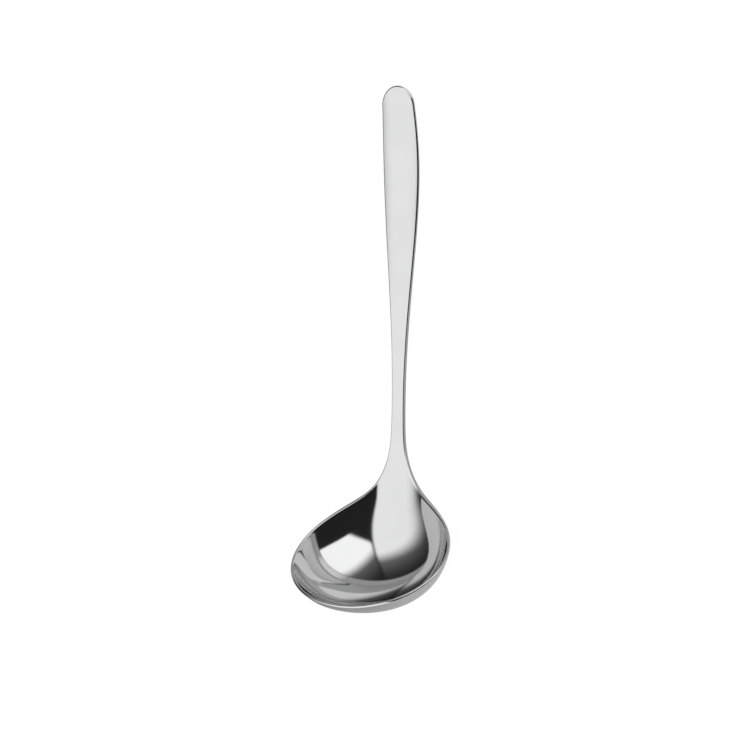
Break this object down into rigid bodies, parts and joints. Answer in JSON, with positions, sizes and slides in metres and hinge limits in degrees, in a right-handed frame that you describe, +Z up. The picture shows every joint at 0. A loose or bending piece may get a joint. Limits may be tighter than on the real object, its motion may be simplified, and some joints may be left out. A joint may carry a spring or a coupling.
{
  "type": "soup spoon",
  "caption": "Ladle-style soup spoon in polished stainless steel, with a deep round bowl and a slim flat handle that rises from the bowl and widens toward its rounded tip.",
  "frame": {"origin": "Centre of the bounding box in X and Y, at the level of the table that the spoon lies on.", "axes": "+Y runs from the bowl to the tip of the handle, +Z is up with the bowl open upward, and X is across."},
  "size_m": [0.06, 0.193, 0.045],
  "materials": {
    "bowl_steel": "mirror polished",
    "weld_steel": "ground flush and polished",
    "handle_steel": "soft polished"
  },
  "bodies": {
    "root": {"bowl": "bowl_steel", "neck_weld": "weld_steel", "handle": "handle_steel"}
  },
  "joints": []
}
